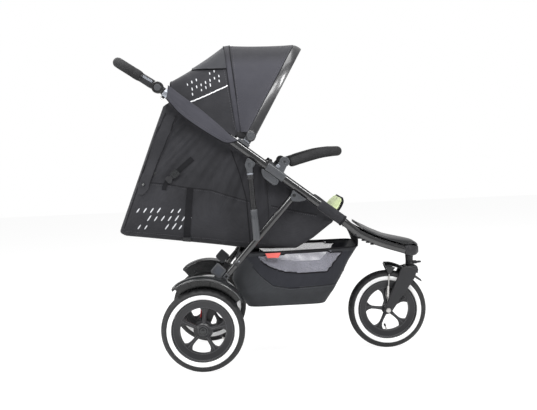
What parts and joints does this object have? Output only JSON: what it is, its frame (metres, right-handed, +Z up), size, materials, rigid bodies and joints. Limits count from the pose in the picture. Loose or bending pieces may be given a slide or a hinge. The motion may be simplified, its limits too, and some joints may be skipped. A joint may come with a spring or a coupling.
{
  "type": "stroller",
  "caption": "Folding three-wheeled stroller with a lie-flat seat, hinged canopy, bumper bar, tilting handle, swivelling front wheel and storage basket.",
  "frame": {"origin": "on the floor, under the middle of the bounding box in plan", "axes": "+X is forward, towards the swivelling front wheel; +Y is to the rider's left; +Z is up"},
  "size_m": [1.1303, 0.6282, 1.1598],
  "materials": {
    "front_wheel_tyre": "matt black with a white sidewall ring",
    "front_wheel_rim": "satin black",
    "rear_wheel_left_tyre": "matt black with a white sidewall ring",
    "rear_wheel_left_rim": "satin black",
    "rear_wheel_right_tyre": "matt black with a white sidewall ring",
    "rear_wheel_right_rim": "satin black",
    "rear_leg_left": "gloss black paint",
    "rear_leg_right": "gloss black paint",
    "leg_gusset_left": "satin dark grey",
    "leg_gusset_right": "satin dark grey",
    "fender_left": "satin black",
    "fender_right": "satin black",
    "accessory_socket_left": "satin dark grey",
    "accessory_socket_right": "satin dark grey",
    "strut_tube_left": "gloss black paint",
    "strut_tube_right": "gloss black paint",
    "strut_sleeve_left": "satin dark grey",
    "strut_sleeve_right": "satin dark grey",
    "strut_bracket_left": "satin dark grey",
    "strut_bracket_right": "satin dark grey",
    "lower_rail_left": "gloss black paint",
    "lower_rail_right": "gloss black paint",
    "frame_collar_left": "satin dark grey",
    "frame_collar_right": "satin dark grey",
    "upper_rail_left": "gloss black paint",
    "upper_rail_right": "gloss black paint",
    "fold_latch_left": "satin dark grey",
    "fold_latch_right": "satin dark grey",
    "handle_button_left": "satin dark grey",
    "handle_button_right": "satin dark grey",
    "canopy_clamp_left": "satin dark grey",
    "canopy_clamp_right": "satin dark grey",
    "canopy_skirt_left": "woven charcoal",
    "canopy_skirt_right": "woven charcoal",
    "mudguard_stay_left": "bright steel",
    "mudguard_stay_right": "bright steel",
    "rear_axle": "gloss black paint",
    "brake_pedal": "satin black with a red tab",
    "handlebar": "satin black",
    "handle_grip": "matt black foam",
    "canopy_front_bow": "gloss black",
    "canopy_middle_bow": "cloth-covered black",
    "canopy_front_panel": "woven charcoal",
    "canopy_rear_panel": "woven black",
    "bumper_bar": "satin black",
    "bumper_grip": "matt black foam",
    "footplate": "gloss black",
    "nose_housing": "satin black",
    "head_tube": "satin black",
    "swivel_lock_lever": "satin black",
    "front_fork": "satin black",
    "front_axle": "bright steel",
    "front_mudguard": "satin black",
    "seat_bag": "woven black",
    "seat_front": "woven black",
    "back_liner": "soft lime green",
    "seat_liner": "soft lime green",
    "harness_buckle": "satin black",
    "basket": "black cloth with mesh sides",
    "basket_strap": "woven black"
  },
  "bodies": {
    "chassis": {"lower_rail_left": "lower_rail_left", "lower_rail_right": "lower_rail_right", "frame_collar_left": "frame_collar_left", "frame_collar_right": "frame_collar_right", "leg_gusset_left": "leg_gusset_left", "leg_gusset_right": "leg_gusset_right", "footplate": "footplate", "nose_housing": "nose_housing", "head_tube": "head_tube", "basket": "basket", "basket_strap": "basket_strap", "seat_front": "seat_front", "seat_liner": "seat_liner", "harness_buckle": "harness_buckle"},
    "upper_frame": {"upper_rail_left": "upper_rail_left", "upper_rail_right": "upper_rail_right", "canopy_clamp_left": "canopy_clamp_left", "canopy_clamp_right": "canopy_clamp_right", "strut_bracket_left": "strut_bracket_left", "strut_bracket_right": "strut_bracket_right", "seat_bag": "seat_bag", "back_liner": "back_liner", "canopy_rear_panel": "canopy_rear_panel", "canopy_skirt_left": "canopy_skirt_left", "canopy_skirt_right": "canopy_skirt_right"},
    "handle": {"handlebar": "handlebar", "handle_grip": "handle_grip"},
    "handle_button_left": {"handle_button_left": "handle_button_left"},
    "handle_button_right": {"handle_button_right": "handle_button_right"},
    "fold_latch_left": {"fold_latch_left": "fold_latch_left"},
    "fold_latch_right": {"fold_latch_right": "fold_latch_right"},
    "canopy_middle": {"canopy_middle_bow": "canopy_middle_bow", "canopy_front_panel": "canopy_front_panel"},
    "canopy_front": {"canopy_front_bow": "canopy_front_bow"},
    "bumper": {"bumper_bar": "bumper_bar", "bumper_grip": "bumper_grip"},
    "rear_legs": {"rear_leg_left": "rear_leg_left", "rear_leg_right": "rear_leg_right", "rear_axle": "rear_axle", "fender_left": "fender_left", "fender_right": "fender_right", "accessory_socket_left": "accessory_socket_left", "accessory_socket_right": "accessory_socket_right"},
    "struts": {"strut_tube_left": "strut_tube_left", "strut_tube_right": "strut_tube_right", "strut_sleeve_left": "strut_sleeve_left", "strut_sleeve_right": "strut_sleeve_right"},
    "brake": {"brake_pedal": "brake_pedal"},
    "rear_wheel_left": {"rear_wheel_left_tyre": "rear_wheel_left_tyre", "rear_wheel_left_rim": "rear_wheel_left_rim"},
    "rear_wheel_right": {"rear_wheel_right_tyre": "rear_wheel_right_tyre", "rear_wheel_right_rim": "rear_wheel_right_rim"},
    "fork": {"front_fork": "front_fork", "front_mudguard": "front_mudguard", "front_axle": "front_axle", "mudguard_stay_left": "mudguard_stay_left", "mudguard_stay_right": "mudguard_stay_right"},
    "front_wheel": {"front_wheel_tyre": "front_wheel_tyre", "front_wheel_rim": "front_wheel_rim"},
    "swivel_lock": {"swivel_lock_lever": "swivel_lock_lever"}
  },
  "joints": [
    {"name": "frame_fold", "type": "hinge", "parent": "chassis", "child": "upper_frame", "pos_m": [-0.0074, 0, 0.7305], "axis": [0, 1, 0], "range_deg": [0, 100]},
    {"name": "rear_leg_fold", "type": "hinge", "parent": "chassis", "child": "rear_legs", "pos_m": [0.07028, 0, 0.60596], "axis": [0, 1, 0], "range_deg": [0, 40]},
    {"name": "strut_fold", "type": "hinge", "parent": "upper_frame", "child": "struts", "pos_m": [-0.08301, 0, 0.71904], "axis": [0, 1, 0], "range_deg": [-70, 0]},
    {"name": "handle_angle", "type": "hinge", "parent": "upper_frame", "child": "handle", "pos_m": [-0.391, 0, 1.003], "axis": [0, 1, 0], "range_deg": [-60, 45]},
    {"name": "canopy_fold", "type": "hinge", "parent": "upper_frame", "child": "canopy_middle", "pos_m": [-0.07212, 0, 0.82134], "axis": [0, -1, 0], "range_deg": [0, 31], "deforming": ["canopy_rear_panel"]},
    {"name": "canopy_front_fold", "type": "hinge", "parent": "canopy_middle", "child": "canopy_front", "pos_m": [-0.07212, 0, 0.82134], "axis": [0, -1, 0], "range_deg": [0, 37], "deforming": ["canopy_front_panel"]},
    {"name": "bumper_lift", "type": "hinge", "parent": "chassis", "child": "bumper", "pos_m": [0.04181, 0, 0.72517], "axis": [0, 1, 0], "range_deg": [-75, 0]},
    {"name": "front_swivel", "type": "hinge", "parent": "chassis", "child": "fork", "pos_m": [0.507, 0, 0.33], "axis": [0, 0, 1], "continuous": true},
    {"name": "front_wheel_spin", "type": "hinge", "parent": "fork", "child": "front_wheel", "pos_m": [0.416, 0, 0.1475], "axis": [0, 1, 0], "continuous": true},
    {"name": "rear_wheel_left_spin", "type": "hinge", "parent": "rear_legs", "child": "rear_wheel_left", "pos_m": [-0.269, 0.275, 0.1475], "axis": [0, 1, 0], "continuous": true},
    {"name": "rear_wheel_right_spin", "type": "hinge", "parent": "rear_legs", "child": "rear_wheel_right", "pos_m": [-0.269, -0.275, 0.1475], "axis": [0, 1, 0], "continuous": true},
    {"name": "brake_press", "type": "hinge", "parent": "rear_legs", "child": "brake", "pos_m": [-0.269, 0, 0.1475], "axis": [0, -1, 0], "range_deg": [0, 25]},
    {"name": "swivel_lock", "type": "hinge", "parent": "chassis", "child": "swivel_lock", "pos_m": [0.5303, 0, 0.321], "axis": [0, -1, 0], "range_deg": [0, 30]},
    {"name": "fold_latch_left", "type": "slide", "parent": "chassis", "child": "fold_latch_left", "axis": [0.7866, 0, -0.6175], "range_m": [0, 0.008], "stiffness_N_per_m": 400, "springref_m": -0.004},
    {"name": "fold_latch_right", "type": "slide", "parent": "chassis", "child": "fold_latch_right", "axis": [0.7866, 0, -0.6175], "range_m": [0, 0.008], "stiffness_N_per_m": 400, "springref_m": -0.004},
    {"name": "handle_button_left", "type": "slide", "parent": "upper_frame", "child": "handle_button_left", "axis": [0, -1, 0], "range_m": [0, 0.003], "stiffness_N_per_m": 600, "springref_m": -0.001},
    {"name": "handle_button_right", "type": "slide", "parent": "upper_frame", "child": "handle_button_right", "axis": [0, 1, 0], "range_m": [0, 0.003], "stiffness_N_per_m": 600, "springref_m": -0.001}
  ],
  "couplings": [
    {"joint": "rear_leg_fold", "follows": "frame_fold", "ratio": 0.3876},
    {"joint": "strut_fold", "follows": "frame_fold", "ratio": -0.6815},
    {"joint": "canopy_front_fold", "follows": "canopy_fold", "ratio": 1.184}
  ]
}
